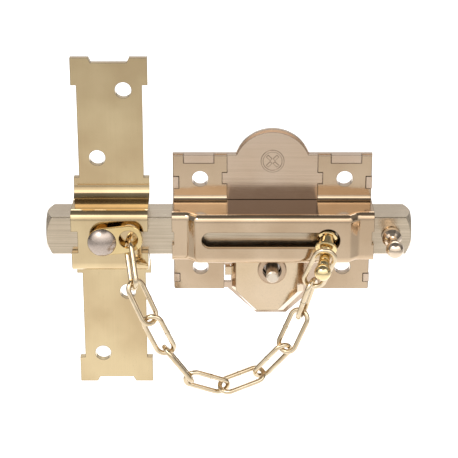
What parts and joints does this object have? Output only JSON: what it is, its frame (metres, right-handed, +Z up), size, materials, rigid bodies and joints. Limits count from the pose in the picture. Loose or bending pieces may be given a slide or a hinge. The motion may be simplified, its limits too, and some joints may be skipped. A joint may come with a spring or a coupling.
{
  "type": "door chain guard",
  "caption": "Surface-mounted square door bolt with a keeper strip, a sheet-metal bar cover with a keyhole slot, a rack and pinion drive, and a chain with a turned retaining stud.",
  "frame": {"origin": "centre of the base plate's back face, on the door's surface", "axes": "+X along the bolt bar, towards its knob; +Y into the door; +Z up"},
  "size_m": [0.145, 0.0401, 0.14],
  "materials": {
    "gilt_sheet": "satin brass plate over steel",
    "keeper_gilt": "bright brass plate over steel",
    "bar_steel": "drawn lengthwise, thin brass plate",
    "knob_gilt": "polished plate",
    "chain_gilt": "plated wire",
    "yellow_brass": "polished",
    "rivet_nickel": "satin nickel",
    "plain_steel": "turned, as machined"
  },
  "bodies": {
    "lock_body": {"base_plate": "gilt_sheet", "bar_cover": "gilt_sheet", "dome_plate": "gilt_sheet", "pinion_housing": "gilt_sheet", "spindle_collar": "gilt_sheet", "rear_bush": "plain_steel", "friction_plunger": "plain_steel", "plunger_sleeve": "plain_steel", "plunger_spring": "plain_steel", "travel_stop_pin": "plain_steel", "keeper_plate": "keeper_gilt", "rivet_washer": "yellow_brass", "chain_rivet": "rivet_nickel"},
    "bolt": {"bolt_bar": "bar_steel", "bar_knob": "knob_gilt"},
    "pinion": {"drive_pinion": "plain_steel", "drive_spindle": "plain_steel", "spindle_circlip": "plain_steel"},
    "anchor": {"anchor_plate": "yellow_brass"},
    "chain_01": {"link_01": "chain_gilt"},
    "chain_02": {"link_02": "chain_gilt"},
    "chain_03": {"link_03": "chain_gilt"},
    "chain_04": {"link_04": "chain_gilt"},
    "chain_05": {"link_05": "chain_gilt"},
    "chain_06": {"link_06": "chain_gilt"},
    "chain_07": {"link_07": "chain_gilt"},
    "chain_08": {"link_08": "chain_gilt"},
    "chain_09": {"link_09": "chain_gilt"},
    "chain_10": {"link_10": "chain_gilt"},
    "stud": {"retaining_stud": "yellow_brass"}
  },
  "joints": [
    {"name": "bolt_slide", "type": "slide", "parent": "lock_body", "child": "bolt", "axis": [1, 0, 0], "range_m": [0, 0.048]},
    {"name": "pinion_turn", "type": "hinge", "parent": "lock_body", "child": "pinion", "pos_m": [0, -0.005, -0.01685], "axis": [0, 1, 0], "range_deg": [0, 276]},
    {"name": "anchor_swivel", "type": "hinge", "parent": "lock_body", "child": "anchor", "pos_m": [-0.0673, -0.0249, 0], "axis": [0, 1, 0], "range_deg": [-2.5, 2.5]},
    {"name": "link_01_swing", "type": "hinge", "parent": "lock_body", "child": "chain_01", "pos_m": [-0.05688, -0.0248, -0.00157], "axis": [0.0285, 0, -0.9996], "range_deg": [0, 30]},
    {"name": "link_02_swing", "type": "hinge", "parent": "chain_01", "child": "chain_02", "pos_m": [-0.05455, -0.03406, -0.01415], "axis": [0.1913, 0, -0.9815], "range_deg": [0, 8]},
    {"name": "link_03_swing", "type": "hinge", "parent": "chain_02", "child": "chain_03", "pos_m": [-0.04813, -0.03569, -0.0285], "axis": [0.3864, 0, -0.9223], "range_deg": [0, 8]},
    {"name": "link_04_swing", "type": "hinge", "parent": "chain_03", "child": "chain_04", "pos_m": [-0.04211, -0.03313, -0.04289], "axis": [0.565, 0, -0.8251], "range_deg": [0, 8]},
    {"name": "link_05_swing", "type": "hinge", "parent": "chain_04", "child": "chain_05", "pos_m": [-0.03317, -0.03137, -0.05579], "axis": [0.7184, 0, -0.6956], "range_deg": [0, 6]},
    {"name": "link_06_swing", "type": "hinge", "parent": "chain_05", "child": "chain_06", "pos_m": [-0.01958, -0.02668, -0.06234], "axis": [0.8377, 0, -0.5461], "range_deg": [0, 6]},
    {"name": "link_07_swing", "type": "hinge", "parent": "chain_06", "child": "chain_07", "pos_m": [-0.00485, -0.02293, -0.058], "axis": [0.9123, 0, -0.4096], "range_deg": [0, 6]},
    {"name": "link_08_swing", "type": "hinge", "parent": "chain_07", "child": "chain_08", "pos_m": [0.00526, -0.02442, -0.04595], "axis": [0.9444, 0, -0.3289], "range_deg": [0, 8]},
    {"name": "link_09_swing", "type": "hinge", "parent": "chain_08", "child": "chain_09", "pos_m": [0.01149, -0.0234, -0.03147], "axis": [0.9549, 0, -0.297], "range_deg": [0, 8]},
    {"name": "link_10_swing", "type": "hinge", "parent": "chain_09", "child": "chain_10", "pos_m": [0.01547, -0.02704, -0.01662], "axis": [0.9444, 0, -0.3288], "range_deg": [0, 8]},
    {"name": "stud_spin", "type": "hinge", "parent": "chain_10", "child": "stud", "pos_m": [0.01996, -0.03073, -0.00443], "axis": [-0.1504, -0.8529, -0.5], "continuous": true}
  ],
  "couplings": [
    {"joint": "pinion_turn", "follows": "bolt_slide", "rad_per_m": 100}
  ]
}
